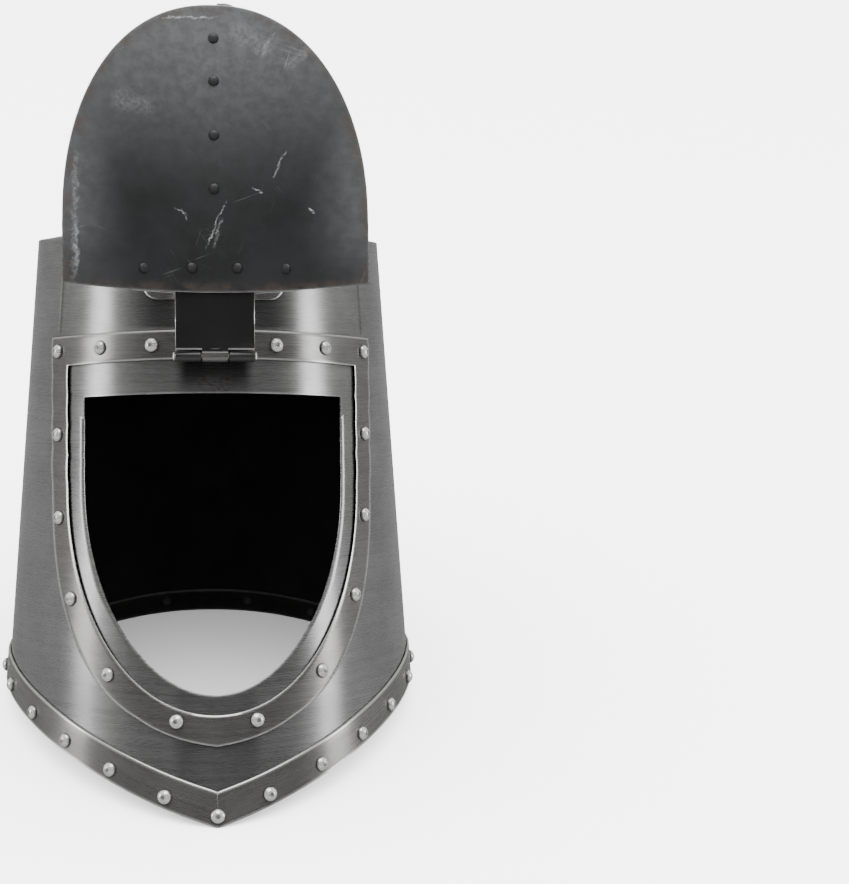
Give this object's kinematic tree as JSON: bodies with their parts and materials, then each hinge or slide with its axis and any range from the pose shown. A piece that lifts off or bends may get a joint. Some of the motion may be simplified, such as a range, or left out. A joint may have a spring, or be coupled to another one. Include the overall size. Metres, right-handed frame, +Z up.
{
  "type": "great helm with hinged visor",
  "caption": "Flat-topped riveted steel helm with a pointed front, a framed face opening and a visor turned up on a brow hinge.",
  "frame": {"origin": "on the surface it rests on, under the middle of the whole box with the visor up", "axes": "+Z up, -Y out of the face opening, +X to the wearer's left and along the visor hinge"},
  "size_m": [0.263, 0.3614, 0.4306],
  "materials": {
    "wall_steel": "satin, brushed",
    "trim_steel": "satin, a little darker",
    "visor_steel": "dark, scuffed",
    "rivet_steel": "polished"
  },
  "bodies": {
    "helm": {"front_plate": "wall_steel", "back_plate": "wall_steel", "top_cap": "wall_steel", "rim_band": "trim_steel", "face_frame": "trim_steel", "hinge_plate": "trim_steel", "hinge_pin": "rivet_steel", "rim_rivet_01": "rivet_steel", "rim_rivet_02": "rivet_steel", "rim_rivet_03": "rivet_steel", "rim_rivet_04": "rivet_steel", "rim_rivet_05": "rivet_steel", "rim_rivet_06": "rivet_steel", "rim_rivet_07": "rivet_steel", "rim_rivet_08": "rivet_steel", "rim_rivet_09": "rivet_steel", "rim_rivet_10": "rivet_steel", "rim_rivet_11": "rivet_steel", "rim_rivet_12": "rivet_steel", "rim_rivet_13": "rivet_steel", "rim_rivet_14": "rivet_steel", "rim_rivet_15": "rivet_steel", "rim_rivet_16": "rivet_steel", "rim_rivet_17": "rivet_steel", "rim_rivet_18": "rivet_steel", "rim_rivet_19": "rivet_steel", "rim_rivet_20": "rivet_steel", "rim_rivet_21": "rivet_steel", "frame_rivet_01": "rivet_steel", "frame_rivet_02": "rivet_steel", "frame_rivet_03": "rivet_steel", "frame_rivet_04": "rivet_steel", "frame_rivet_05": "rivet_steel", "frame_rivet_06": "rivet_steel", "frame_rivet_07": "rivet_steel", "frame_rivet_08": "rivet_steel", "frame_rivet_09": "rivet_steel", "frame_rivet_10": "rivet_steel", "brow_rivet_01": "rivet_steel", "brow_rivet_02": "rivet_steel", "brow_rivet_03": "rivet_steel", "brow_rivet_04": "rivet_steel", "brow_rivet_05": "rivet_steel", "brow_rivet_06": "rivet_steel", "hinge_plate_rivet_01": "rivet_steel", "hinge_plate_rivet_02": "rivet_steel", "hinge_plate_rivet_03": "rivet_steel"},
    "visor": {"visor_plate": "visor_steel", "visor_strap": "trim_steel", "cross_bar": "trim_steel", "latch_hook": "rivet_steel", "strap_rivet_01": "rivet_steel", "strap_rivet_02": "rivet_steel", "strap_rivet_03": "rivet_steel", "strap_rivet_04": "rivet_steel", "cross_bar_rivet_01": "rivet_steel", "cross_bar_rivet_02": "rivet_steel", "cross_bar_rivet_03": "rivet_steel", "cross_bar_rivet_04": "rivet_steel"}
  },
  "joints": [
    {"name": "visor_hinge", "type": "hinge", "parent": "helm", "child": "visor", "pos_m": [0, -0.06802, 0.24371], "axis": [1, 0, 0], "range_deg": [0, 179]}
  ]
}
